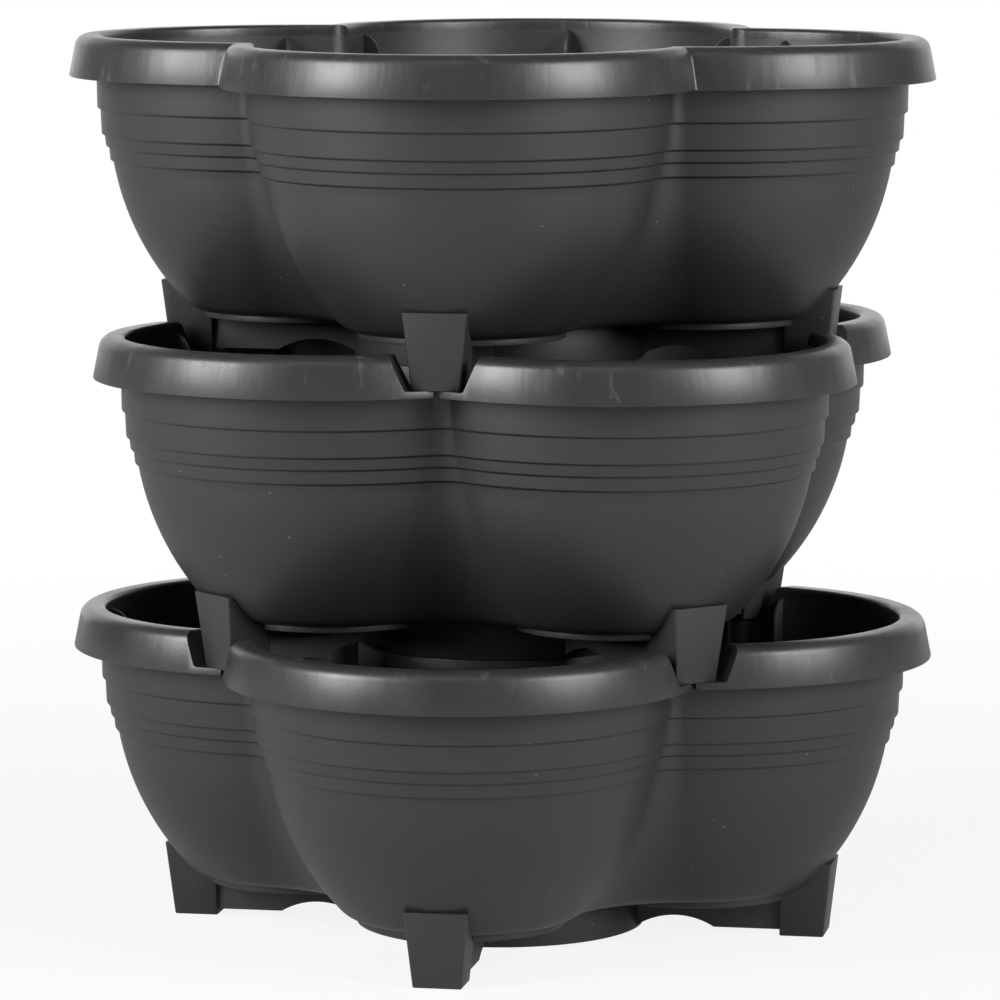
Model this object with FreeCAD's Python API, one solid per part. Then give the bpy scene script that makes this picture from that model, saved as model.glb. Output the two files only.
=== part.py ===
import FreeCAD, Part
import math
import os

# Vertical planter tower: three moulded tiers, each with four round pots,
# stacked on their feet with a turn of 45 degrees from one to the next. The
# feet stand in notches between the pots; the top tier's rim has no notches.
# Millimetres. Origin on the ground at the tower's axis, +Z up. The bottom and
# top tiers have their pots on the X and Y axes, the middle tier between them.

# Driving dimensions of one tier, heights taken from the underside of its feet
POT_SPACING = 86.0        # tower axis to the centre of a pot
VALLEY_FILLET = 6.5       # radius between two pots' walls, under the rim
SEAT_HEIGHT = 123.0       # floor of the notch where the next tier's foot stands
NOTCH_DEPTH = 14.5        # from there up to the top of the rim
RIM_RADIUS = 100.0        # outside of the skirt at its lower edge
SKIRT_HEIGHT = 17.5
SKIRT_LEAN = 2.6          # how far the skirt leans in up to its rounded corner
SKIRT_CORNER = 4.5        # height of that rounded corner
LAND_EDGE = 6.5           # flat top of the rim starts this far inside the skirt
SKIN = 2.0                # thickness of the rim's shell
RIM_ROUND = 0.9           # how far the rolled corner stands out from a straight cut
INNER_ROUND = 0.6         # the same on the edge round the pot's mouth
HOLLOW_ROUND = 0.5        # the same on the inside of the rolled corner

SKIRT_STAND = 11.5        # skirt's outside to the outside of the wall
WALL = 2.2
STEP_DROPS = (31.0, 42.2, 47.4, 53.4)   # rim's top to the lower edges of the bands
STEP_IN = 1.35            # how far the wall goes in at each step
STEP_SLOPE = 0.8          # height of the step's face
BAND_TAPER = 0.45         # how far a band goes in from top to bottom
BOWL_BULGE = 5.2          # how far the bowl stands out from a straight cone
BOWL_FOOT_RISE = 2.0      # height of the slope between the bowl and its floor
BOWL_FOOT_WIDTH = 4.5     # width of that slope

FLOOR_BOTTOM = 20.0
FLOOR = 2.0
FLOOR_RADIUS = 45.5
PAD_INSET = 2.5           # round pad under each pot's floor, inside its edge
PAD_DEPTH = 3.0
DRAIN_RADIUS = 5.0

NOTCH_BOTTOM_WIDTH = 24.0
NOTCH_TOP_WIDTH = 37.0
NOTCH_LINING = 2.0
SLIT_WIDTH = 2.4          # gap in the skirt under each notch
RIM_SWEEP = 280.0         # more than one pot's share of the rim, trimmed to it

LEG_INSET = 43.5          # outer face of a foot, at its underside, inside the rim
LEG_RAKE = 3.5            # how far that face goes out up to its top
LEG_DEPTH = 19.0
LEG_BOTTOM_WIDTH = 20.5
LEG_TOP_WIDTH = 27.0
LEG_RISE = 12.0           # top of the foot above the underside of the floor
LEG_EDGE = 1.0            # rounding of its upright edges
WEB_THICKNESS = 2.4
WEB_SPREAD = 7.6          # centre of each web plate beside the leg's middle
WEB_CLEARANCE = 2.6       # underside of the webs above the ground
ARCH_SPAN = 35.0          # shallow arch in a web's underside, from the leg to the drum
ARCH_RISE = 4.6

DRUM_RADIUS = 62.2
DRUM_WALL = 2.2
DRUM_BOTTOM = 1.0
RISER_INSET = 1.2         # riser's outside inside the drum's
RISER_WALL = 2.2
RISER_GAP = 0.3           # riser top below the next tier's drum
POST_COUNT = 12
POST_WIDTH = 9.0
RISER_BAND = 10.0         # unbroken band at each end of the riser

FIN_THICKNESS = 2.0
FIN_DROP = 5.0            # top of a fin below the rim's top
FIN_HEIGHT = 45.0
FIN_REACH = 7.8
FIN_SHOULDER = 9.5        # height of the arched part of its edge
FIN_ROUND = 2.4           # how far that part stands out from a straight cut
FIN_ANGLES = (-73.0, 0.0, 73.0)

TIER_TURN = 45.0          # each tier is turned so that its feet meet the notches
BIG = 400.0               # longer than any part, for cutting tools

# Sizes that follow from these
RIM_TOP = SEAT_HEIGHT + NOTCH_DEPTH
SKIRT_BOTTOM = RIM_TOP - SKIRT_HEIGHT
RIM_JOIN = RIM_TOP - SKIRT_CORNER           # the rim's shell starts here on the wall
LAND_OUTER = RIM_RADIUS - LAND_EDGE
WALL_RADIUS = RIM_RADIUS - SKIRT_STAND      # outside of the wall under the rim
MOUTH_RADIUS = WALL_RADIUS - WALL
STEP_HEIGHTS = [RIM_TOP - drop for drop in STEP_DROPS]
BOWL_FOOT_RADIUS = FLOOR_RADIUS + BOWL_FOOT_WIDTH
PAD_RADIUS = FLOOR_RADIUS - PAD_INSET
LEG_OUTER = POT_SPACING + RIM_RADIUS - LEG_INSET
LEG_TOP = FLOOR_BOTTOM + LEG_RISE
ARCH_OUTER = DRUM_RADIUS + ARCH_SPAN - DRUM_WALL
RISER_RADIUS = DRUM_RADIUS - RISER_INSET
FIN_TOP = RIM_TOP - FIN_DROP
# The next tier's feet stand in the notches, so that is the step from tier to tier
TIER_PITCH = SEAT_HEIGHT
# Pots and valleys are round about their own centres, so that an inward step
# of the pot's wall is an equal outward step of the valley's
MEETING = WALL_RADIUS + VALLEY_FILLET
VALLEY_CENTRE = POT_SPACING / 2 + math.sqrt(MEETING ** 2 / 2 - POT_SPACING ** 2 / 4)
VALLEY_ANGLE = math.degrees(math.atan2(VALLEY_CENTRE, VALLEY_CENTRE - POT_SPACING))
VALLEY_RADIUS = VALLEY_CENTRE * math.sqrt(2) - VALLEY_FILLET
NOTCH_IN = VALLEY_RADIUS - 6 * WALL
# Where the inside of the skirts of two pots meets, on the line between them
SLIT_START = (POT_SPACING / math.sqrt(2)
              + math.sqrt((RIM_RADIUS - SKIN) ** 2 - POT_SPACING ** 2 / 2))
NOTCH_OUT = RIM_RADIUS + POT_SPACING

PARTS = "parts"
os.makedirs(PARTS, exist_ok=True)


def vec(x, y=0.0, z=0.0):
    return FreeCAD.Vector(x, y, z)


def outline_face(points):
    """A face in the XZ plane. A point is (x, z), and a pair of points
    joined by an arc has the arc's middle point between them as (x, z, 'arc')."""
    edges = []
    previous = points[0]
    middle = None
    for point in list(points[1:]) + [points[0]]:
        if len(point) == 3:
            middle = point
            continue
        start = vec(previous[0], 0, previous[1])
        end = vec(point[0], 0, point[1])
        if middle:
            edges.append(Part.Arc(start, vec(middle[0], 0, middle[1]), end).toShape())
        else:
            edges.append(Part.makeLine(start, end))
        previous, middle = point, None
    return Part.Face(Part.Wire(edges))


def spin(points, centre, start, sweep):
    """Turn a section, given as distance from the centre and height, about
    the upright line through centre, from the angle start by sweep degrees."""
    face = outline_face(points)
    face.rotate(vec(0), vec(0, 0, 1), start)
    face.translate(vec(*centre))
    return face.revolve(vec(*centre), vec(0, 0, 1), sweep)


def arc_middle(start, end, bulge):
    """The middle of an arc that stands out by bulge on the left of its chord."""
    dx, dz = end[0] - start[0], end[1] - start[1]
    length = math.hypot(dx, dz)
    return ((start[0] + end[0]) / 2 - bulge * dz / length,
            (start[1] + end[1]) / 2 + bulge * dx / length, "arc")


def wall_line(inset, top):
    """The stepped wall and the bowl, from the top down, moved in by inset."""
    radius = WALL_RADIUS - inset
    line = [(radius, top)]
    for height in STEP_HEIGHTS:
        radius -= BAND_TAPER
        line.append((radius, height))
        radius -= STEP_IN
        line.append((radius, height - STEP_SLOPE))
    bowl_end = (BOWL_FOOT_RADIUS - inset, FLOOR_BOTTOM + BOWL_FOOT_RISE + inset)
    line.append(arc_middle(line[-1], bowl_end, BOWL_BULGE))
    line.append(bowl_end)
    return line


def mirrored(points):
    """The same section seen from the centre of the fillet between two pots."""
    return [(MEETING - point[0],) + tuple(point[1:]) for point in points]


def wall_section():
    outer = wall_line(0.0, RIM_JOIN)
    inner = wall_line(WALL, RIM_JOIN)
    floor_top = FLOOR_BOTTOM + FLOOR
    outer.append((FLOOR_RADIUS, FLOOR_BOTTOM))
    inner.append((FLOOR_RADIUS, floor_top))
    return outer + inner[::-1]


def sector(top=BIG):
    """The quarter of space that belongs to the pot on the X axis."""
    corner = BIG / 2
    points = [vec(0), vec(corner, -corner), vec(corner, corner), vec(0)]
    face = Part.Face(Part.makePolygon(points))
    block = face.extrude(vec(0, 0, top + BIG))
    block.translate(vec(0, 0, -BIG))
    return block


def notch_prism(grow, floor, reach_in, reach_out):
    """The notch for a foot, on the line between two pots, as a solid."""
    half_bottom = NOTCH_BOTTOM_WIDTH / 2 + grow
    rise = RIM_TOP - SEAT_HEIGHT
    slope = (NOTCH_TOP_WIDTH - NOTCH_BOTTOM_WIDTH) / 2 / rise
    top = RIM_TOP + SKIN
    half_floor = half_bottom - slope * (SEAT_HEIGHT - floor)
    half_top = half_bottom + slope * (top - SEAT_HEIGHT)
    points = [vec(reach_in, -half_floor, floor), vec(reach_in, half_floor, floor),
              vec(reach_in, half_top, top), vec(reach_in, -half_top, top)]
    face = Part.Face(Part.makePolygon(points + points[:1]))
    block = face.extrude(vec(reach_out - reach_in, 0, 0))
    block.rotate(vec(0), vec(0, 0, 1), TIER_TURN)
    return block


def both_notches(*sizes):
    first = notch_prism(*sizes)
    second = first.copy()
    second.rotate(vec(0), vec(0, 0, 1), -2 * TIER_TURN)
    return first.fuse(second)


def quarter_turns(shapes):
    """Copies of a pot's pieces at the other three pots of the tier."""
    copies = []
    for index in range(4):
        for shape in shapes:
            copy = shape.copy()
            copy.rotate(vec(0), vec(0, 0, 1), index * 90)
            copies.append(copy)
    return copies


def ring(radius, wall, bottom, top):
    tube = Part.makeCylinder(radius, top - bottom, vec(0, 0, bottom))
    return tube.cut(Part.makeCylinder(radius - wall, top - bottom, vec(0, 0, bottom)))


def pad_ring():
    """The round pad under a pot's floor, open where the drum crosses it."""
    pad = ring(PAD_RADIUS, WALL, FLOOR_BOTTOM - PAD_DEPTH, FLOOR_BOTTOM)
    pad.translate(vec(POT_SPACING))
    return pad.cut(ring(DRUM_RADIUS, DRUM_WALL, DRUM_BOTTOM, FLOOR_BOTTOM))


def make_pot(notched):
    """One pot with its share of the valley walls and of the floor."""
    centre = (POT_SPACING, 0)
    section = wall_section()
    body = spin(section, centre, -VALLEY_ANGLE, 2 * VALLEY_ANGLE)
    corners = [vec(0), vec(VALLEY_CENTRE, -VALLEY_CENTRE), vec(POT_SPACING),
               vec(VALLEY_CENTRE, VALLEY_CENTRE), vec(0)]
    floor = Part.Face(Part.makePolygon(corners)).extrude(vec(0, 0, FLOOR))
    floor.translate(vec(0, 0, FLOOR_BOTTOM))
    for side in (1, -1):
        valley_centre = (VALLEY_CENTRE, side * VALLEY_CENTRE)
        valley = spin(mirrored(section), valley_centre,
                      side * (VALLEY_ANGLE + 180), side * (45 - VALLEY_ANGLE))
        body = body.fuse(valley)
        floor = floor.cut(Part.makeCylinder(MEETING - FLOOR_RADIUS, BIG, vec(*valley_centre)))
    disc = Part.makeCylinder(FLOOR_RADIUS, FLOOR, vec(POT_SPACING, 0, FLOOR_BOTTOM))
    body = body.fuse([floor, disc, pad_ring()])
    drain = Part.makeCylinder(DRAIN_RADIUS, BIG, vec(POT_SPACING, 0, 0))
    body = body.cut(drain)
    body = body.common(sector())
    if notched:
        body = body.cut(both_notches(0.0, SEAT_HEIGHT, NOTCH_IN, NOTCH_OUT))
    return body.removeSplitter()


def split_pot(pot):
    """The stepped wall above the lowest step, and the bowl under it."""
    block = Part.makeBox(BIG, BIG, BIG, vec(0, -BIG / 2, STEP_HEIGHTS[-1] - STEP_SLOPE))
    return pot.common(block), pot.cut(block)


def rim_mouth_section():
    """The rim's flat top and the edge round the pot's mouth, from the outside in."""
    mouth = (MOUTH_RADIUS + SKIN, RIM_TOP)
    corner = (MOUTH_RADIUS, RIM_TOP - SKIN)
    return [(LAND_OUTER, RIM_TOP), mouth, arc_middle(mouth, corner, -INNER_ROUND), corner,
            (MOUTH_RADIUS, RIM_JOIN), (WALL_RADIUS, RIM_JOIN),
            (WALL_RADIUS, RIM_TOP - SKIN), (LAND_OUTER, RIM_TOP - SKIN)]


def rim_shell_section():
    corner_start = (RIM_RADIUS - SKIRT_LEAN, RIM_TOP - SKIRT_CORNER)
    inside_corner = (corner_start[0] - SKIN, corner_start[1])
    mouth = rim_mouth_section()
    return [(RIM_RADIUS, SKIRT_BOTTOM), corner_start,
            arc_middle(corner_start, mouth[0], -RIM_ROUND), *mouth,
            arc_middle(mouth[-1], inside_corner, HOLLOW_ROUND), inside_corner,
            (RIM_RADIUS - SKIN, SKIRT_BOTTOM)]


def rim_core_section():
    """The space between the skirt and the wall, under the rim's top."""
    return [(RIM_RADIUS - SKIN, SKIRT_BOTTOM),
            (RIM_RADIUS - SKIRT_LEAN - SKIN, RIM_TOP - SKIRT_CORNER),
            (LAND_OUTER, RIM_TOP - SKIN), (WALL_RADIUS, RIM_TOP - SKIN),
            (WALL_RADIUS, SKIRT_BOTTOM)]


def make_notched_rim(pot):
    """The rolled rim of one pot, with the linings of its two half notches."""
    centre = (POT_SPACING, 0)
    quarter = sector()
    shell = spin(rim_shell_section(), centre, -RIM_SWEEP / 2, RIM_SWEEP)
    core = spin(rim_core_section(), centre, -RIM_SWEEP / 2, RIM_SWEEP)
    lining = both_notches(NOTCH_LINING, SEAT_HEIGHT - NOTCH_LINING,
                          VALLEY_RADIUS - WALL / 2, NOTCH_OUT)
    body = shell.fuse(core.common(lining))
    body = body.cut(both_notches(0.0, SEAT_HEIGHT, NOTCH_IN, NOTCH_OUT))
    body = body.common(quarter)
    slit = Part.makeBox(BIG, SLIT_WIDTH, SEAT_HEIGHT, vec(SLIT_START, -SLIT_WIDTH / 2, 0))
    for turn in (TIER_TURN, -TIER_TURN):
        cut = slit.copy()
        cut.rotate(vec(0), vec(0, 0, 1), turn)
        body = body.cut(cut)
    return body.cut(pot).removeSplitter()


def make_plain_rim(pot):
    """The rolled rim of one pot of the top tier, which runs on round the
    fillets between the pots."""
    body = spin(rim_shell_section(), (POT_SPACING, 0), -RIM_SWEEP / 2, RIM_SWEEP)
    for side in (1, -1):
        valley_centre = (VALLEY_CENTRE, side * VALLEY_CENTRE)
        corners = [vec(0), vec(POT_SPACING), vec(*valley_centre), vec(0)]
        cusp = Part.Face(Part.makePolygon(corners)).extrude(vec(0, 0, BIG))
        cusp = cusp.cut(Part.makeCylinder(MEETING - MOUTH_RADIUS, BIG, vec(*valley_centre)))
        valley = spin(mirrored(rim_mouth_section()), valley_centre,
                      side * (VALLEY_ANGLE + 180), side * (45 - VALLEY_ANGLE))
        body = body.cut(cusp).fuse(valley)
    return body.common(sector()).cut(pot).removeSplitter()


def filled_pot(inset):
    """A pot filled in, moved in by inset, to trim what meets its wall."""
    floor = FLOOR_BOTTOM + inset
    section = wall_line(inset, RIM_JOIN) + [(FLOOR_RADIUS, floor), (0, floor), (0, RIM_JOIN)]
    return spin(section, (POT_SPACING, 0), 0, 360)


def leg_ring(height, width, outer):
    inner = LEG_OUTER - LEG_DEPTH
    points = [vec(inner, -width / 2, height), vec(outer, -width / 2, height),
              vec(outer, width / 2, height), vec(inner, width / 2, height)]
    return Part.makePolygon(points + points[:1])


def make_foot():
    """The foot under a pot, with the two web plates that tie it to the drum."""
    leg = Part.makeLoft([leg_ring(0.0, LEG_BOTTOM_WIDTH, LEG_OUTER),
                         leg_ring(LEG_TOP, LEG_TOP_WIDTH, LEG_OUTER + LEG_RAKE)],
                        True, True)
    leg = leg.makeFillet(LEG_EDGE, [edge for edge in leg.Edges
                               if abs(edge.Vertexes[0].Z - edge.Vertexes[1].Z) > LEG_TOP / 2])
    inside_leg = LEG_OUTER - LEG_DEPTH + WALL
    inside_drum = DRUM_RADIUS - DRUM_WALL / 2
    arch_start = (ARCH_OUTER, WEB_CLEARANCE)
    arch_end = (DRUM_RADIUS, WEB_CLEARANCE)
    profile = [(inside_leg, WEB_CLEARANCE), arch_start,
               arc_middle(arch_start, arch_end, -ARCH_RISE), arch_end,
               (inside_drum, WEB_CLEARANCE), (inside_drum, FLOOR_BOTTOM),
               (inside_leg, FLOOR_BOTTOM + BOWL_FOOT_RISE)]
    body = leg
    for side in (1, -1):
        plate = outline_face(profile).extrude(vec(0, WEB_THICKNESS, 0))
        plate.translate(vec(0, side * WEB_SPREAD - WEB_THICKNESS / 2, 0))
        body = body.fuse(plate)
    drum = Part.makeCylinder(DRUM_RADIUS, BIG, vec(0, 0, -BIG / 2))
    floor = Part.makeBox(POT_SPACING, 2 * POT_SPACING, BIG,
                         vec(0, -POT_SPACING, FLOOR_BOTTOM))
    for tool in (filled_pot(0.0), drum, pad_ring(), floor):
        body = body.cut(tool)
    return body.removeSplitter()


def make_drum():
    """The ring under the floor that stands over the riser of the tier below."""
    return ring(DRUM_RADIUS, DRUM_WALL, DRUM_BOTTOM, FLOOR_BOTTOM)


def make_riser():
    """The lower and upper bands of the ring that carries the next tier's drum."""
    bottom = FLOOR_BOTTOM + FLOOR
    top = TIER_PITCH + DRUM_BOTTOM - RISER_GAP
    return Part.makeCompound([ring(RISER_RADIUS, RISER_WALL, bottom, bottom + RISER_BAND),
                              ring(RISER_RADIUS, RISER_WALL, top - RISER_BAND, top)])


def make_posts():
    """The flat upright posts between the riser's bands."""
    bottom = FLOOR_BOTTOM + FLOOR + RISER_BAND
    top = TIER_PITCH + DRUM_BOTTOM - RISER_GAP - RISER_BAND
    post = Part.makeBox(RISER_WALL, POST_WIDTH, top - bottom,
                        vec(RISER_RADIUS - RISER_WALL, -POST_WIDTH / 2, bottom))
    posts = []
    for index in range(POST_COUNT):
        turned = post.copy()
        turned.rotate(vec(0), vec(0, 0, 1), index * 360.0 / POST_COUNT)
        posts.append(turned)
    return Part.makeCompound(posts)


def make_fins():
    """Three thin gussets on the inside of a pot's wall."""
    cavity = filled_pot(WALL)
    outer = MOUTH_RADIUS + WALL / 2
    tip = (MOUTH_RADIUS - FIN_REACH, FIN_TOP - FIN_SHOULDER)
    start = (MOUTH_RADIUS, FIN_TOP)
    tail = (MOUTH_RADIUS - FIN_REACH, FIN_TOP - FIN_HEIGHT)
    profile = [(outer, FIN_TOP), start, arc_middle(start, tip, -FIN_ROUND), tip, tail,
               (outer, FIN_TOP - FIN_HEIGHT)]
    fins = []
    for angle in FIN_ANGLES:
        fin = outline_face(profile).extrude(vec(0, FIN_THICKNESS, 0))
        fin.translate(vec(0, -FIN_THICKNESS / 2, 0))
        fin.rotate(vec(0), vec(0, 0, 1), angle)
        fin.translate(vec(POT_SPACING, 0, 0))
        fins.append(fin.common(cavity))
    return fins


def write(name, shape, turn, lift):
    shape = shape.copy()
    shape.rotate(vec(0), vec(0, 0, 1), turn)
    shape.translate(vec(0, 0, lift))
    shape.exportStep(os.path.join(PARTS, name + ".step"))
    print(name, len(shape.Solids), "solid", round(shape.Volume), "mm3",
          "valid" if shape.isValid() else "INVALID")


TIERS = (("bottom", ("right", "back", "left", "front")),
         ("middle", ("back_right", "back_left", "front_left", "front_right")),
         ("top", ("right", "back", "left", "front")))


def main():
    pot = make_pot(notched=True)
    top_pot = make_pot(notched=False)
    notched = (*split_pot(pot), make_notched_rim(pot))
    plain = (*split_pot(top_pot), make_plain_rim(top_pot))
    foot = make_foot()
    drum = make_drum()
    riser = make_riser()
    posts = make_posts()
    fins = Part.makeCompound(quarter_turns(make_fins()))
    for level, (tier, sides) in enumerate(TIERS):
        turn = level % 2 * TIER_TURN
        lift = level * TIER_PITCH
        wall, bowl, rim = plain if tier == "top" else notched
        for index, side in enumerate(sides):
            around = turn + index * 90
            write(f"{tier}_wall_{side}", wall, around, lift)
            write(f"{tier}_bowl_{side}", bowl, around, lift)
            write(f"{tier}_rim_{side}", rim, around, lift)
            write(f"{tier}_foot_{side}", foot, around, lift)
        write(f"{tier}_drum", drum, turn, lift)
        write(f"{tier}_riser", riser, turn, lift)
        write(f"{tier}_posts", posts, turn, lift)
        write(f"{tier}_fins", fins, turn, lift)


main()
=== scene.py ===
import math

import bmesh
import bpy
from mathutils import Matrix, Vector


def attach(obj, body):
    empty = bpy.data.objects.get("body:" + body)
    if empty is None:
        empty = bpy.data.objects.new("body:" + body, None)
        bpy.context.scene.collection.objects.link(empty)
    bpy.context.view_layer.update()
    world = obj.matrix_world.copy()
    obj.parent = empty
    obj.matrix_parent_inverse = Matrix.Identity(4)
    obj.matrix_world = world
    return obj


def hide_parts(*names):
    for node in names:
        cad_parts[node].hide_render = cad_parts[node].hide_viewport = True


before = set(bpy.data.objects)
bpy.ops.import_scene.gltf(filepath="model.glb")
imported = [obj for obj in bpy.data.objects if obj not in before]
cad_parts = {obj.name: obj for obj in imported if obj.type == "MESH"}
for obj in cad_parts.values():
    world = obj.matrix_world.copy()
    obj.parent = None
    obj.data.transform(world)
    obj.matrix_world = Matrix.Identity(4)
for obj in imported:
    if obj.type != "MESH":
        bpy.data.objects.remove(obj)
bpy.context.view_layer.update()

# The camera stands at eye level some way off, a little to the right of the
# tower's front, with a long lens tipped down. The tower stands on a white
# floor in front of a white background.
CAMERA_DISTANCE = 2.408
CAMERA_HEIGHT = 0.490
CAMERA_TURN = math.radians(10.5)
CAMERA_TIP = math.radians(7.24)
FOCAL_PIXELS = 5644

scene = bpy.context.scene
camera_data = bpy.data.cameras.new("camera")
camera_data.sensor_width = 36.0
camera_data.lens = 36.0 * FOCAL_PIXELS / 1000
camera = bpy.data.objects.new("camera", camera_data)
back = Vector((math.sin(CAMERA_TURN), -math.cos(CAMERA_TURN), 0))
camera.location = CAMERA_DISTANCE * back + Vector((0, 0, CAMERA_HEIGHT))
camera.rotation_euler = (math.pi / 2 - CAMERA_TIP, 0, CAMERA_TURN)
scene.collection.objects.link(camera)
scene.camera = camera
scene.view_settings.view_transform = "Standard"


def soft_box(name, aside, height, distance, width, tall, watts):
    """A softbox that faces the tower, aside degrees from the camera's side of it."""
    data = bpy.data.lights.new(name, "AREA")
    data.shape = "RECTANGLE"
    data.size = width
    data.size_y = tall
    data.energy = watts
    turn = CAMERA_TURN + math.radians(aside)
    lamp = bpy.data.objects.new(name, data)
    lamp.location = (distance * math.sin(turn), -distance * math.cos(turn), height)
    lamp.rotation_euler = (Vector((0, 0, 0.2)) - lamp.location).to_track_quat("-Z", "Y").to_euler()
    lamp.visible_camera = False
    scene.collection.objects.link(lamp)


# Two softboxes stand at the tower's sides, a lamp hangs over the camera, and a
# pale backdrop behind the tower gives its outlines a light edge.
soft_box("left_box", aside=-61, height=1.0, distance=2.2, width=1.1, tall=1.1, watts=77)
soft_box("right_box", aside=54, height=1.0, distance=2.2, width=1.0, tall=1.1, watts=61)
soft_box("over_camera", aside=-8, height=3.0, distance=2.2, width=1.2, tall=1.2, watts=8)
soft_box("backdrop", aside=180, height=0.9, distance=2.6, width=4.5, tall=1.8, watts=35)


class Socket:
    """A value in a node tree. Arithmetic on it adds Math nodes."""

    def __init__(self, tree, socket):
        self.tree = tree
        self.socket = socket

    def node(self, kind, settings=(), output=0, **values):
        """Add a node of that kind, set it up, and return one of its outputs."""
        made = self.tree.nodes.new(kind)
        for setting, value in dict(settings).items():
            setattr(made, setting, value)
        for label, value in values.items():
            place = int(label[1:]) if label[1:].isdigit() else label.replace("_", " ")
            if isinstance(value, Socket):
                self.tree.links.new(value.socket, made.inputs[place])
            else:
                made.inputs[place].default_value = value
        return Socket(self.tree, made.outputs[output])

    def maths(self, operation, *others):
        values = {f"i{index}": value for index, value in enumerate((self,) + others)}
        return self.node("ShaderNodeMath", {"operation": operation}, **values)

    def __add__(self, other):
        return self.maths("ADD", other)

    __radd__ = __add__

    def __mul__(self, other):
        return self.maths("MULTIPLY", other)

    __rmul__ = __mul__


def new_material(name):
    """An empty material with a Principled shader, and its object coordinates."""
    material = bpy.data.materials.new(name)
    material.use_nodes = True
    tree = material.node_tree
    shader = tree.nodes["Principled BSDF"]
    place = tree.nodes.new("ShaderNodeTexCoord").outputs["Object"]
    return material, shader, Socket(tree, place)


# The studio: a pale floor that keeps the tower's soft shadow, and a plain world.
# The camera and rays through clear things see the world white and the floor
# nearly white. Reflections see them at a part of that strength.
FLOOR_SIZE = 6
FLOOR_WHITE = 0.6
FLOOR_VEIL = 0.87
WORLD_LIGHT = 0.03
REFLECTED = 0.3
FLOOR_NEAR = 0.3
FLOOR_FAR = 1.2

material, shader, place = new_material("studio_floor")
shader.inputs["Base Color"].default_value = (FLOOR_WHITE, FLOOR_WHITE, FLOOR_WHITE, 1)
shader.inputs["Roughness"].default_value = 0.9
shader.inputs["Specular IOR Level"].default_value = 0.0
seen = place.node("ShaderNodeLightPath")
glossy = Socket(seen.tree, seen.socket.node.outputs["Is Glossy Ray"])
through = Socket(seen.tree, seen.socket.node.outputs["Is Transmission Ray"])
reach = place.node("ShaderNodeVectorMath", {"operation": "LENGTH"}, 1, i0=place)
fade = reach.node("ShaderNodeMapRange", {"interpolation_type": "SMOOTHSTEP"}, i0=reach,
                  From_Min=FLOOR_NEAR, From_Max=FLOOR_FAR, To_Min=FLOOR_VEIL)
direct = seen.maths("MAXIMUM", through)
veil = direct.maths("MAXIMUM", glossy * REFLECTED) * fade
white = place.node("ShaderNodeEmission", Color=(1, 1, 1, 1), Strength=1.0)
mixed = place.node("ShaderNodeMixShader", i0=veil,
                   i1=Socket(place.tree, shader.outputs[0]), i2=white)
output = place.tree.nodes["Material Output"]
place.tree.links.new(mixed.socket, output.inputs["Surface"])

flat = bmesh.new()
bmesh.ops.create_grid(flat, x_segments=1, y_segments=1, size=FLOOR_SIZE)
floor_mesh = bpy.data.meshes.new("studio_floor")
flat.to_mesh(floor_mesh)
floor_mesh.materials.append(material)
floor = bpy.data.objects.new("studio_floor", floor_mesh)
scene.collection.objects.link(floor)

world = bpy.data.worlds.new("studio_world")
world.use_nodes = True
scene.world = world
background = Socket(world.node_tree, world.node_tree.nodes["Background"].outputs[0])
seen = background.node("ShaderNodeLightPath")
glossy = Socket(seen.tree, seen.socket.node.outputs["Is Glossy Ray"])
through = Socket(seen.tree, seen.socket.node.outputs["Is Transmission Ray"])
direct = seen.maths("MAXIMUM", through)
strength = direct.maths("MAXIMUM", glossy * REFLECTED).maths("MAXIMUM", WORLD_LIGHT)
background.tree.links.new(strength.socket, background.socket.node.inputs["Strength"])
background.socket.node.inputs["Color"].default_value = (1, 1, 1, 1)

# The shell of a tier: four round pots that run into one another, with a wall
# that steps in four times under the rim and a bowl under the lowest step.
# It is one moulding of charcoal plastic, 2.2 mm thick, with a fine grain.
POT_SPACING = 86.0
VALLEY_FILLET = 6.5
WALL_RADIUS = 88.5
WALL = 2.2
WALL_TOP = 133.0
STEP_HEIGHTS = (106.5, 95.3, 90.1, 84.1)
STEP_IN = 1.35
STEP_SLOPE = 0.8
STEP_ROUND = 0.35
BAND_TAPER = 0.45
BOWL_BULGE = 5.2
BOWL_FOOT = (50.0, 22.0)
BOWL_ROUND = 2.0
FLOOR_BOTTOM = 20.0
FLOOR_TOP = 22.0
FLOOR_RADIUS = 45.5
PAD_RADIUS = 43.0
PAD_DEPTH = 3.0
DRAIN_RADIUS = 5.0
TIER_PITCH = 123.0
EDGE_ROUND = 0.3
SEAM = 0.5
POT_STEPS = 64
VALLEY_STEPS = 14
DRAIN_STEPS = 24

MEETING = WALL_RADIUS + VALLEY_FILLET
VALLEY_PLACE = POT_SPACING / 2 + math.sqrt(MEETING ** 2 / 2 - POT_SPACING ** 2 / 4)
POT_CENTRE = Vector((POT_SPACING, 0, 0))
VALLEY_CENTRE = Vector((VALLEY_PLACE, VALLEY_PLACE, 0))
POT_TURN = math.atan2(VALLEY_PLACE, VALLEY_PLACE - POT_SPACING)
VALLEY_TURN = POT_TURN - math.pi / 4
UP = Vector((0, 0, 1))
TIERS = (("bottom", 0, ("right", "back", "left", "front")),
         ("middle", 1, ("back_right", "back_left", "front_left", "front_right")),
         ("top", 2, ("right", "back", "left", "front")))


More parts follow.
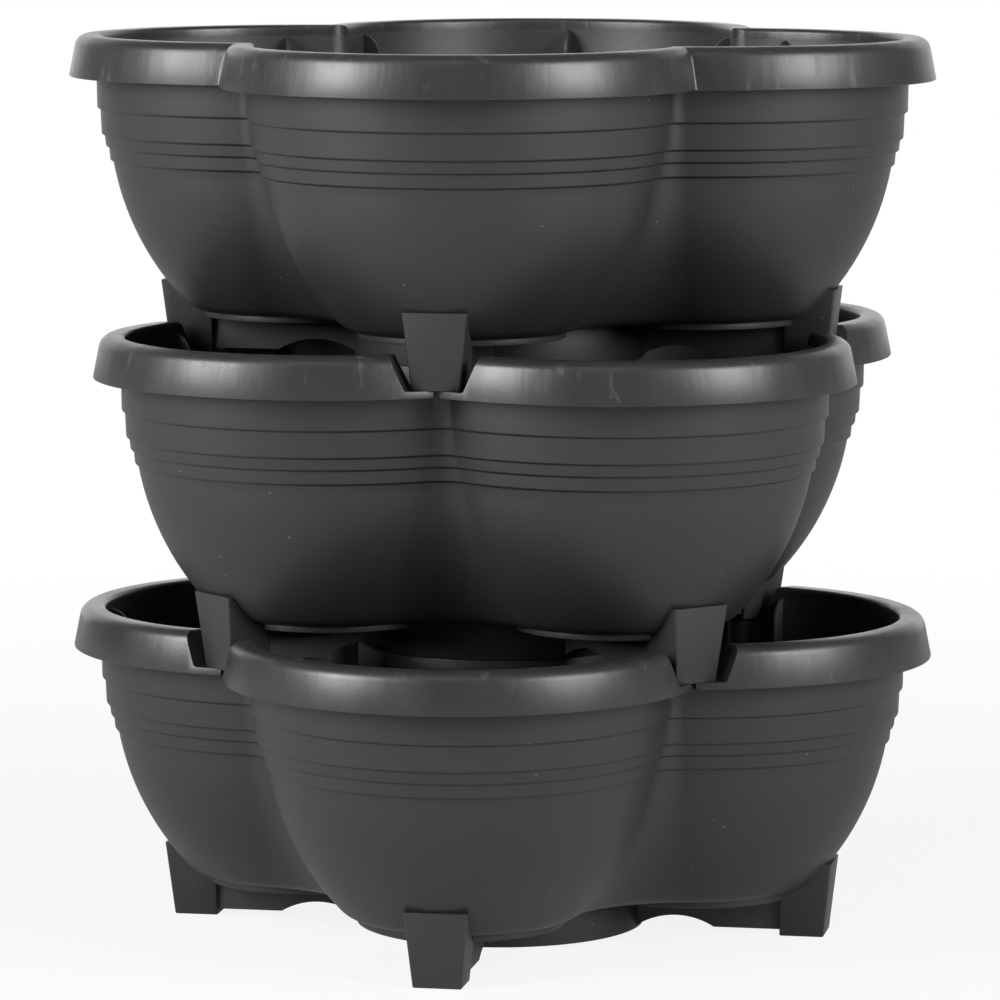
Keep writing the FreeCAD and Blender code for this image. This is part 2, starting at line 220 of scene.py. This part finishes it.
def draw_outline(bm, points, closed=False):
    """Edges in the XZ plane through points (x, z). A point with a third number
    is joined to the one before it by an arc that stands out by that much."""
    first = last = bm.verts.new((points[0][0], 0, points[0][1]))
    corners = [first]
    for x, z, *bulge in points[1:]:
        end = Vector((x, 0, z))
        if bulge:
            chord = end - last.co
            rise = bulge[0]
            radius = (chord.length ** 2 / 4 + rise ** 2) / (2 * rise)
            aside = Vector((-chord.z, 0, chord.x)).normalized()
            centre = (last.co + end) / 2 + aside * (rise - radius)
            turn = 2 * math.asin(min(1, chord.length / 2 / abs(radius)))
            steps = 14 if chord.length > 30 else 5
            reached = bmesh.ops.spin(bm, geom=[last], cent=centre, axis=(0, 1, 0),
                                     angle=math.copysign(turn, rise), steps=steps)
            last = reached["geom_last"][0]
        else:
            vert = bm.verts.new(end)
            bm.edges.new((last, vert))
            last = vert
        corners.append(last)
    if closed:
        bm.edges.new((last, first))
    return corners


def wall_outline(inset, top):
    """The stepped wall and the bowl, from the top down, moved in by inset."""
    radius = WALL_RADIUS - inset
    line = [(radius, top)]
    for height in STEP_HEIGHTS:
        radius -= BAND_TAPER
        line.append((radius, height))
        radius -= STEP_IN
        line.append((radius, height - STEP_SLOPE))
    line.append((BOWL_FOOT[0] - inset, BOWL_FOOT[1] + inset, BOWL_BULGE))
    return line


def round_corners(bm, corners, size, segments=2):
    bmesh.ops.bevel(bm, geom=corners, offset=size, offset_type="OFFSET", material=-1,
                    segments=segments, profile=0.5, affect="VERTICES")


def spin_about(bm, edges, centre, angle, steps):
    """Turn edges about an upright line, and return the last ones."""
    turned = bmesh.ops.spin(bm, geom=edges, cent=centre, axis=UP, angle=angle, steps=steps)
    return turned["geom_last"]


def turn_verts(bm, verts, angle, centre=(0, 0, 0), axis="Z"):
    bmesh.ops.rotate(bm, verts=verts, cent=centre, matrix=Matrix.Rotation(angle, 3, axis))


def repeat_round(bm, count=4):
    """Copies of all of it, turned about the tower's axis, joined where they meet."""
    geom = bm.verts[:] + bm.edges[:] + bm.faces[:]
    for index in range(1, count):
        copy = bmesh.ops.duplicate(bm, geom=geom)["geom"]
        verts = [item for item in copy if isinstance(item, bmesh.types.BMVert)]
        turn_verts(bm, verts, index * 2 * math.pi / count)
    bmesh.ops.remove_doubles(bm, verts=bm.verts, dist=0.01)
    bmesh.ops.recalc_face_normals(bm, faces=bm.faces)


def lathe(bm, points, centre=(0, 0, 0), steps=96, rounding=0.0):
    """A ring turned from a closed outline."""
    older = set(bm.verts)
    corners = draw_outline(bm, points, closed=True)
    if rounding:
        round_corners(bm, corners, rounding)
    verts = [vert for vert in bm.verts if vert not in older]
    edges = list({edge for vert in verts for edge in vert.link_edges})
    bmesh.ops.translate(bm, verts=verts, vec=centre)
    bmesh.ops.spin(bm, geom=edges, cent=centre, axis=UP, angle=2 * math.pi,
                   steps=steps, use_merge=True)


def carve(bm, tool, operation="DIFFERENCE"):
    """Cut, join or trim one closed mesh with another, and return the result."""
    shapes = []
    for part in (bm, tool):
        mesh = bpy.data.meshes.new("carving")
        part.to_mesh(mesh)
        part.free()
        shape = bpy.data.objects.new("carving", mesh)
        scene.collection.objects.link(shape)
        shapes.append(shape)
    cut = shapes[0].modifiers.new("carving", "BOOLEAN")
    cut.operation = operation
    cut.solver = "EXACT"
    cut.object = shapes[1]
    result = bmesh.new()
    ready = shapes[0].evaluated_get(bpy.context.evaluated_depsgraph_get())
    result.from_mesh(ready.to_mesh())
    for shape in shapes:
        mesh = shape.data
        bpy.data.objects.remove(shape)
        bpy.data.meshes.remove(mesh)
    bmesh.ops.remove_doubles(result, verts=result.verts, dist=0.005)
    bmesh.ops.dissolve_degenerate(result, edges=result.edges, dist=0.005)
    bmesh.ops.holes_fill(result, edges=[edge for edge in result.edges if edge.is_boundary],
                         sides=6)
    return result


def add_tiers(name, bm, material, replaced, tiers=TIERS, crease=32.0):
    """Put one piece in each of the tiers, which are turned by 45 degrees
    from one to the next. replaced gives the names of a tier's nodes."""
    bmesh.ops.recalc_face_normals(bm, faces=bm.faces)
    for face in bm.faces:
        face.smooth = True
    for edge in bm.edges:
        if len(edge.link_faces) == 2:
            edge.smooth = edge.smooth and edge.calc_face_angle(0.0) < math.radians(crease)
    for tier, level, sides in tiers:
        mesh = bpy.data.meshes.new(f"{tier}_{name}")
        bm.to_mesh(mesh)
        lift = Matrix.Translation((0, 0, level * TIER_PITCH))
        mesh.transform(Matrix.Scale(0.001, 4) @ lift
                       @ Matrix.Rotation(level % 2 * math.pi / 4, 4, "Z"))
        mesh.materials.append(material)
        piece = bpy.data.objects.new(f"{tier}_{name}_visual", mesh)
        scene.collection.objects.link(piece)
        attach(piece, f"{tier}_tier")
        nodes = []
        for part in replaced:
            if part.endswith("_"):
                nodes += [f"{tier}_{part}{side}" for side in sides]
            else:
                nodes.append(f"{tier}_{part}")
        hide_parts(*nodes)
    bm.free()


def toned(colour, tone):
    """A colour made lighter or darker by a tone that varies over the surface."""
    grey = tone.node("ShaderNodeCombineColor", i0=tone, i1=tone, i2=tone)
    return tone.node("ShaderNodeMix", {"data_type": "RGBA", "blend_type": "MULTIPLY"}, 2,
                     i0=1.0, i6=colour, i7=grey)


def connect(shader, colour, rough, bump):
    for label, value in (("Base Color", colour), ("Roughness", rough), ("Normal", bump)):
        value.tree.links.new(value.socket, shader.inputs[label])


# Fine-grained charcoal plastic of the walls: a matte surface with a grain
# finer than a millimetre, soft cloudy differences from the cooling of the
# moulding, faint upright flow marks and a few pale specks of dust.
WALL_COLOUR = (0.0160, 0.0161, 0.0169, 1)
DUST_COLOUR = (0.12, 0.12, 0.12, 1)
material, shader, place = new_material("wall_plastic")
tall = place.node("ShaderNodeMapping", Vector=place, Scale=(1, 1, 0.12))
cloud = place.node("ShaderNodeTexNoise", Vector=place, Scale=14.0, Detail=3.0, Roughness=0.55)
flow = place.node("ShaderNodeTexNoise", Vector=tall, Scale=60.0, Detail=2.0)
grain = place.node("ShaderNodeTexNoise", Vector=place, Scale=1100.0, Detail=1.0, Roughness=0.6)
specks = place.node("ShaderNodeTexVoronoi", Vector=place, Scale=85.0)
dust = specks.node("ShaderNodeMapRange", Value=specks, From_Min=0.03, From_Max=0.045,
                   To_Min=1.0, To_Max=0.0) * cloud.maths("GREATER_THAN", 0.52)
tone = 0.66 + cloud * 0.3 + flow * 0.16 + grain * 0.26
shade = dust.node("ShaderNodeMix", {"data_type": "RGBA"}, 2, i0=dust,
                  i6=toned(WALL_COLOUR, tone), i7=DUST_COLOUR)
bump = place.node("ShaderNodeBump", Strength=0.22, Distance=0.0003, Height=grain)
rough = 0.37 + cloud * 0.1 + flow * 0.06 + grain * 0.1
connect(shader, shade, rough, bump)
wall_plastic = material

RIM_TOP = 137.5
SEAT_HEIGHT = 123.0
NOTCH_BOTTOM_WIDTH = 24.0
NOTCH_TOP_WIDTH = 37.0
NOTCH_START = 114.0
NOTCH_END = 200.0
NOTCH_CORNER = 1.6


def notch_blocks(grow, floor, corner):
    """The spaces of the four feet's notches, on the lines between the pots.
    A notch widens upwards, and corner rounds the rim beside its mouth."""
    slope = (NOTCH_TOP_WIDTH - NOTCH_BOTTOM_WIDTH) / 2 / (RIM_TOP - SEAT_HEIGHT)
    foot = NOTCH_BOTTOM_WIDTH / 2 + grow - slope * (SEAT_HEIGHT - floor)
    shoulder = foot + slope * (RIM_TOP - corner - floor)
    mouth = foot + slope * (RIM_TOP - floor) + corner * 0.8
    over = RIM_TOP + 3
    bm = bmesh.new()
    corners = draw_outline(bm, [(foot, floor), (shoulder, RIM_TOP - corner),
                                (mouth, RIM_TOP, corner * 0.35), (mouth, over),
                                (-mouth, over), (-mouth, RIM_TOP),
                                (-shoulder, RIM_TOP - corner, corner * 0.35), (-foot, floor)],
                           closed=True)
    round_corners(bm, [corners[0], corners[-1]], 1.0)
    face = bmesh.ops.contextual_create(bm, geom=bm.edges[:])["faces"]
    grown = bmesh.ops.extrude_face_region(bm, geom=face)["geom"]
    bmesh.ops.translate(bm, verts=bm.verts, vec=(0, NOTCH_START, 0))
    far = [item for item in grown if isinstance(item, bmesh.types.BMVert)]
    bmesh.ops.translate(bm, verts=far, vec=(0, NOTCH_END - NOTCH_START, 0))
    turn_verts(bm, bm.verts, math.pi / 4)
    repeat_round(bm)
    return bm


bm = bmesh.new()
bowl_foot = 2 * len(STEP_HEIGHTS) + 1
outer = draw_outline(bm, wall_outline(0.0, WALL_TOP) + [(FLOOR_RADIUS, FLOOR_BOTTOM)])
inner = draw_outline(bm, wall_outline(WALL, WALL_TOP) + [(FLOOR_RADIUS, FLOOR_TOP)])
bm.edges.new((outer[0], inner[0]))
round_corners(bm, outer[1:bowl_foot] + inner[1:bowl_foot], STEP_ROUND)
round_corners(bm, [outer[bowl_foot], inner[bowl_foot]], BOWL_ROUND, 3)
bmesh.ops.translate(bm, verts=bm.verts, vec=POT_CENTRE)
turn_verts(bm, bm.verts, -POT_TURN, POT_CENTRE)
start = bm.edges[:]
spin_about(bm, start, (VALLEY_PLACE, -VALLEY_PLACE, 0), VALLEY_TURN, VALLEY_STEPS)
end = spin_about(bm, start, POT_CENTRE, 2 * POT_TURN, POT_STEPS)
spin_about(bm, [item for item in end if isinstance(item, bmesh.types.BMEdge)],
           VALLEY_CENTRE, -VALLEY_TURN, VALLEY_STEPS)
repeat_round(bm)
drain = draw_outline(bm, [(POT_SPACING + DRAIN_RADIUS, FLOOR_BOTTOM),
                          (POT_SPACING + DRAIN_RADIUS, FLOOR_TOP)])
bmesh.ops.spin(bm, geom=list(drain[0].link_edges), cent=POT_CENTRE, axis=UP,
               angle=2 * math.pi, steps=DRAIN_STEPS, use_merge=True)
drain = [vert for vert in bm.verts if (vert.co.xy - POT_CENTRE.xy).length < DRAIN_RADIUS + 0.1]
drain = list({face for vert in drain for face in vert.link_faces})
for index in (1, 2, 3):
    copy = bmesh.ops.duplicate(bm, geom=drain)["geom"]
    turn_verts(bm, [item for item in copy if isinstance(item, bmesh.types.BMVert)],
               index * math.pi / 2)
for height in (FLOOR_BOTTOM, FLOOR_TOP):
    border = [edge for edge in bm.edges if len(edge.link_faces) == 1
              and all(abs(vert.co.z - height) < 0.01 for vert in edge.verts)]
    bmesh.ops.triangle_fill(bm, edges=border, use_beauty=True, normal=UP)
    for edge in border:
        edge.smooth = False
bmesh.ops.recalc_face_normals(bm, faces=bm.faces)
notched = carve(bm.copy(), notch_blocks(0.0, SEAT_HEIGHT, NOTCH_CORNER))
for shell, tiers in ((notched, TIERS[:2]), (bm, TIERS[2:])):
    for index in range(4):
        centre = Matrix.Rotation(index * math.pi / 2, 3, "Z") @ POT_CENTRE
        low = FLOOR_BOTTOM - PAD_DEPTH
        lathe(shell, [(PAD_RADIUS - WALL, low), (PAD_RADIUS, low),
                      (PAD_RADIUS, FLOOR_BOTTOM + SEAM),
                      (PAD_RADIUS - WALL, FLOOR_BOTTOM + SEAM)],
              centre, POT_STEPS, EDGE_ROUND)
    add_tiers("shell", shell, wall_plastic, ("wall_", "bowl_"), tiers)

# The rim of a tier: a rolled band with a skirt round each pot, open under its
# flat top. In the lower two tiers a pocket between each two pots takes a foot
# of the next tier; the top tier's rim runs on round the fillets between pots.
SKIRT_BOTTOM = 120.0
MOUTH_RADIUS = 86.3
MOUTH_SECTION = ((93.5, RIM_TOP), (88.3, RIM_TOP), (MOUTH_RADIUS, 135.5, -0.6),
                 (MOUTH_RADIUS, WALL_TOP), (WALL_RADIUS, WALL_TOP),
                 (WALL_RADIUS, 135.5), (93.5, 135.5))
RIM_SECTION = ((100.0, SKIRT_BOTTOM), (97.4, 133.0), (93.5, RIM_TOP, -0.9), *MOUTH_SECTION[1:],
               (95.4, 133.0, 0.5), (98.0, SKIRT_BOTTOM))
RIM_HOLLOW = ((98.9, SKIRT_BOTTOM), (96.3, 133.0), (94.2, 136.4), (87.6, 136.4),
              (87.6, SKIRT_BOTTOM))
RIM_SWEEP = math.radians(200)
CREASE_START = 130.0
CREASE_ROUND = 1.0
LINING = 2.0
SLIT_START = 137.8
SLIT_WIDTH = 2.4
SLIT_LENGTH = 30
SLIT_HEIGHT = 6
CUSP_HEIGHT = 6
CUT_CLEARANCE = 0.05
RIM_STEPS = 80
FILLET_STEPS = 28


def rim_ring(section, rounding):
    """A section turned round each of the four pots, cut where the pots meet."""
    bm = bmesh.new()
    corners = draw_outline(bm, section, closed=True)
    if rounding:
        round_corners(bm, [corners[0], corners[-1]], rounding)
    bmesh.ops.translate(bm, verts=bm.verts, vec=POT_CENTRE)
    turn_verts(bm, bm.verts, -RIM_SWEEP / 2, POT_CENTRE)
    spin_about(bm, bm.edges[:], POT_CENTRE, RIM_SWEEP, RIM_STEPS)
    for side in (1, -1):
        bmesh.ops.bisect_plane(bm, geom=bm.verts[:] + bm.edges[:] + bm.faces[:], dist=0.001,
                               plane_co=(0, 0, 0), plane_no=(-1, side, 0), clear_outer=True)
    repeat_round(bm)
    return bm


def cusp_blocks():
    """What the inside of two pots' rims would add to the fillet between them."""
    reach = MEETING - MOUTH_RADIUS
    bm = bmesh.new()
    start = bm.verts.new(VALLEY_CENTRE + Vector((reach, 0, WALL_TOP - 0.01)))
    turn_verts(bm, [start], POT_TURN + math.pi, VALLEY_CENTRE)
    spun = bmesh.ops.spin(bm, geom=[start], cent=VALLEY_CENTRE, axis=UP, angle=-2 * VALLEY_TURN,
                          steps=FILLET_STEPS)
    tip = bm.verts.new(VALLEY_CENTRE * 0.75 + Vector((0, 0, start.co.z)))
    for end in (start, spun["geom_last"][0]):
        bm.edges.new((end, tip))
    face = bmesh.ops.contextual_create(bm, geom=bm.edges[:])["faces"]
    grown = bmesh.ops.extrude_face_region(bm, geom=face)["geom"]
    far = [item for item in grown if isinstance(item, bmesh.types.BMVert)]
    bmesh.ops.translate(bm, verts=far, vec=(0, 0, CUSP_HEIGHT))
    repeat_round(bm)
    return bm


def mouth_fillets():
    """The flat top and the inner edge of the rim, turned about the fillets' centres."""
    bm = bmesh.new()
    draw_outline(bm, [(MEETING - x, z, *(-rise for rise in bulge))
                      for x, z, *bulge in MOUTH_SECTION], closed=True)
    bmesh.ops.translate(bm, verts=bm.verts, vec=VALLEY_CENTRE)
    turn_verts(bm, bm.verts, POT_TURN + math.pi, VALLEY_CENTRE)
    spin_about(bm, bm.edges[:], VALLEY_CENTRE, -2 * VALLEY_TURN, FILLET_STEPS)
    bmesh.ops.holes_fill(bm, edges=bm.edges[:], sides=0)
    repeat_round(bm)
    return bm


def slit_blocks():
    """The narrow slits that run outwards through the linings of the notches."""
    bm = bmesh.new()
    bmesh.ops.create_cube(bm, size=1)
    bmesh.ops.scale(bm, verts=bm.verts, vec=(SLIT_LENGTH, SLIT_WIDTH, SLIT_HEIGHT))
    bmesh.ops.translate(bm, verts=bm.verts,
                        vec=(SLIT_START + SLIT_LENGTH / 2, 0,
                             SEAT_HEIGHT + CUT_CLEARANCE - SLIT_HEIGHT / 2))
    turn_verts(bm, bm.verts, math.pi / 4)
    repeat_round(bm)
    return bm


RIM_COLOUR = (0.0150, 0.0153, 0.0165, 1)
SCUFF_COLOUR = (0.075, 0.077, 0.080, 1)
material, shader, place = new_material("rim_plastic")
tall = place.node("ShaderNodeMapping", Vector=place, Scale=(1, 1, 0.15))
cloud = place.node("ShaderNodeTexNoise", Vector=place, Scale=22.0, Detail=4.0, Roughness=0.6)
flow = place.node("ShaderNodeTexNoise", Vector=tall, Scale=75.0, Detail=3.0)
grain = place.node("ShaderNodeTexNoise", Vector=place, Scale=1600.0, Detail=1.0)
rubbed = place.node("ShaderNodeTexNoise", Vector=tall, Scale=160.0, Detail=5.0, Roughness=0.7)
scuff = rubbed.node("ShaderNodeMapRange", Value=rubbed, From_Min=0.57, From_Max=0.7,
                    To_Max=0.5) * cloud.maths("GREATER_THAN", 0.48)
tone = 0.72 + cloud * 0.3 + flow * 0.2 + grain * 0.16
shade = scuff.node("ShaderNodeMix", {"data_type": "RGBA"}, 2, i0=scuff,
                   i6=toned(RIM_COLOUR, tone), i7=SCUFF_COLOUR)
bump = place.node("ShaderNodeBump", Strength=0.35, Distance=0.0003,
                  Height=grain * 0.3 + flow * 3.0)
rough = 0.2 + cloud * 0.2 + flow * 0.16 + scuff * 0.2
connect(shader, shade, rough, bump)
rim_plastic = material

pocket = carve(rim_ring(RIM_HOLLOW, 0), notch_blocks(LINING, SEAT_HEIGHT - LINING, 0.01),
               "INTERSECT")
bm = carve(rim_ring(RIM_SECTION, 0.5), pocket, "UNION")
bm = carve(bm, notch_blocks(0.0, SEAT_HEIGHT, NOTCH_CORNER))
bm = carve(bm, slit_blocks())
add_tiers("rim", bm, rim_plastic, ("rim_",), TIERS[:2])

bm = rim_ring(RIM_SECTION, 0.5)
crease = [edge for edge in bm.edges if edge.calc_face_angle(0.0) > 0.3
          and all(abs(abs(vert.co.x) - abs(vert.co.y)) < 0.01
                  and vert.co.xy.length > CREASE_START for vert in edge.verts)]
bmesh.ops.bevel(bm, geom=crease, offset=CREASE_ROUND, offset_type="OFFSET", material=-1,
                segments=4, profile=0.5, affect="EDGES")
bm = carve(bm, cusp_blocks())
bm = carve(bm, mouth_fillets(), "UNION")
# the rounded creases end level with the rim's flat top
for vert in bm.verts:
    vert.co.z = min(vert.co.z, RIM_TOP)
add_tiers("rim", bm, rim_plastic, ("rim_",), TIERS[2:])

# The feet of a tier: under each pot a tapered leg that stands in a notch of
# the tier below, tied to the drum in the middle by two upright web plates.
LEG_OUTER = 142.5
LEG_RAKE = 3.5
LEG_DEPTH = 19.0
LEG_BOTTOM_WIDTH = 20.5
LEG_TOP_WIDTH = 27.0
LEG_TOP = 32.0
WEB_THICKNESS = 2.4
WEB_SPREAD = 7.6
WEB_BOTTOM = 2.6
WEB_SEAM = 1
ARCH_OUTER = 95.0
ARCH_RISE = 4.6
DRUM_RADIUS = 62.2
DRUM_WALL = 2.2


def filled_pot(inset):
    """A pot filled in, moved in by inset, to trim what meets its wall."""
    bm = bmesh.new()
    floor = FLOOR_BOTTOM + inset
    lathe(bm, wall_outline(inset, WALL_TOP) + [(FLOOR_RADIUS, floor), (0, floor), (0, WALL_TOP)],
          POT_CENTRE)
    bmesh.ops.remove_doubles(bm, verts=bm.verts, dist=0.001)
    bmesh.ops.recalc_face_normals(bm, faces=bm.faces)
    return bm


def slab(points, thickness):
    """A flat plate that stands on the X axis, from its outline."""
    bm = bmesh.new()
    draw_outline(bm, points, closed=True)
    face = bmesh.ops.contextual_create(bm, geom=bm.edges[:])["faces"]
    grown = bmesh.ops.extrude_face_region(bm, geom=face)["geom"]
    far = [item for item in grown if isinstance(item, bmesh.types.BMVert)]
    bmesh.ops.translate(bm, verts=far, vec=(0, thickness, 0))
    bmesh.ops.translate(bm, verts=bm.verts, vec=(0, -thickness / 2, 0))
    bmesh.ops.recalc_face_normals(bm, faces=bm.faces)
    return bm


def merge_in(bm, other, turn=0.0, offset=(0, 0, 0)):
    """Add another mesh to this one, moved by offset and then turned."""
    bmesh.ops.translate(other, verts=other.verts, vec=offset)
    turn_verts(other, other.verts, turn)
    mesh = bpy.data.meshes.new("part")
    other.to_mesh(mesh)
    other.free()
    bm.from_mesh(mesh)
    bpy.data.meshes.remove(mesh)


leg = bmesh.new()
bmesh.ops.create_cube(leg, size=1)
for vert in leg.verts:
    high = vert.co.z > 0
    width = LEG_TOP_WIDTH if high else LEG_BOTTOM_WIDTH
    outer_face = LEG_OUTER + (LEG_RAKE if high else 0.0)
    vert.co = Vector((outer_face if vert.co.x > 0 else LEG_OUTER - LEG_DEPTH,
                      math.copysign(width / 2, vert.co.y), LEG_TOP if high else 0.0))
upright = [edge for edge in leg.edges if abs(edge.verts[0].co.z - edge.verts[1].co.z) > 1]
bmesh.ops.bevel(leg, geom=upright, offset=1.0, offset_type="OFFSET", material=-1,
                segments=3, profile=0.5, affect="EDGES")
under = [edge for edge in leg.edges if edge.verts[0].co.z < 0.1 and edge.verts[1].co.z < 0.1]
bmesh.ops.bevel(leg, geom=under, offset=0.5, offset_type="OFFSET", material=-1,
                segments=2, profile=0.5, affect="EDGES")
foot = carve(leg, filled_pot(1.1))
web_start = LEG_OUTER - LEG_DEPTH + WALL
web_end = DRUM_RADIUS - DRUM_WALL / 2
web = ((web_start, WEB_BOTTOM), (ARCH_OUTER, WEB_BOTTOM), (DRUM_RADIUS, WEB_BOTTOM, -ARCH_RISE),
       (web_end, WEB_BOTTOM), (web_end, FLOOR_BOTTOM + WEB_SEAM),
       (web_start, FLOOR_BOTTOM + WEB_SEAM))
for side in (1, -1):
    merge_in(foot, slab(web, WEB_THICKNESS), 0.0, (0, side * WEB_SPREAD, 0))
repeat_round(foot)
add_tiers("feet", foot, wall_plastic, ("foot_",))

# The drum of a tier: the ring under the floor that stands over the riser of
# the tier below.
DRUM_BOTTOM = 1.0

bm = bmesh.new()
lathe(bm, [(DRUM_RADIUS - DRUM_WALL, DRUM_BOTTOM), (DRUM_RADIUS, DRUM_BOTTOM),
           (DRUM_RADIUS, FLOOR_BOTTOM + SEAM), (DRUM_RADIUS - DRUM_WALL, FLOOR_BOTTOM + SEAM)],
      rounding=EDGE_ROUND)
add_tiers("drum", bm, wall_plastic, ("drum",))

# The riser of a tier: a ring of flat posts between two bands, which stands on
# the floor in the middle and carries the drum of the tier above.
RISER_RADIUS = 61.0
RISER_WALL = 2.2
RISER_BAND = 10.0
RISER_TOP = 123.7
POST_COUNT = 12
POST_WIDTH = 9.0
POST_SEAM = 1
POST_RECESS = 0.3

bm = bmesh.new()
for low in (FLOOR_TOP - SEAM, RISER_TOP - RISER_BAND):
    high = low + RISER_BAND + (SEAM if low < FLOOR_TOP else 0)
    lathe(bm, [(RISER_RADIUS - RISER_WALL, low), (RISER_RADIUS, low),
               (RISER_RADIUS, high), (RISER_RADIUS - RISER_WALL, high)],
          rounding=EDGE_ROUND)
posts = bmesh.new()
bmesh.ops.create_cube(posts, size=1)
low, high = FLOOR_TOP + RISER_BAND - POST_SEAM, RISER_TOP - RISER_BAND + POST_SEAM
bmesh.ops.scale(posts, verts=posts.verts, vec=(RISER_WALL - POST_RECESS, POST_WIDTH, high - low))
bmesh.ops.bevel(posts, geom=posts.edges[:], offset=0.4, offset_type="OFFSET", material=-1,
                segments=2, profile=0.5, affect="EDGES")
bmesh.ops.translate(posts, verts=posts.verts,
                    vec=(RISER_RADIUS - RISER_WALL / 2 - POST_RECESS, 0, (low + high) / 2))
repeat_round(posts, POST_COUNT)
merge_in(bm, posts)
add_tiers("riser", bm, wall_plastic, ("riser", "posts"))

# The fins of a tier: three thin gussets on the inside of each pot's wall,
# which stiffen the rim.
FIN_THICKNESS = 1.5
FIN_TOP = 132.5
FIN_HEIGHT = 45.0
FIN_REACH = 7.8
FIN_SHOULDER = 9.5
FIN_ROUND = 2.4
FIN_ANGLES = (-73.0, 0.0, 73.0)
FIN_WALL_POINTS = 6

bm = bmesh.new()
outline = wall_outline(WALL / 2, FIN_TOP)[:FIN_WALL_POINTS]
outline += [(MOUTH_RADIUS - FIN_REACH, FIN_TOP - FIN_HEIGHT),
            (MOUTH_RADIUS - FIN_REACH, FIN_TOP - FIN_SHOULDER),
            (MOUTH_RADIUS, FIN_TOP, FIN_ROUND)]
for angle in FIN_ANGLES:
    fin = slab(outline, FIN_THICKNESS)
    bmesh.ops.bevel(fin, geom=[edge for edge in fin.edges if len(edge.link_faces) == 2
                               and edge.calc_face_angle(0.0) > 1.2],
                    offset=0.35, offset_type="OFFSET", material=-1, segments=2, profile=0.5,
                    affect="EDGES")
    turn_verts(fin, fin.verts, math.radians(angle))
    merge_in(bm, fin, 0.0, POT_CENTRE)
repeat_round(bm)
add_tiers("fins", bm, wall_plastic, ("fins",))
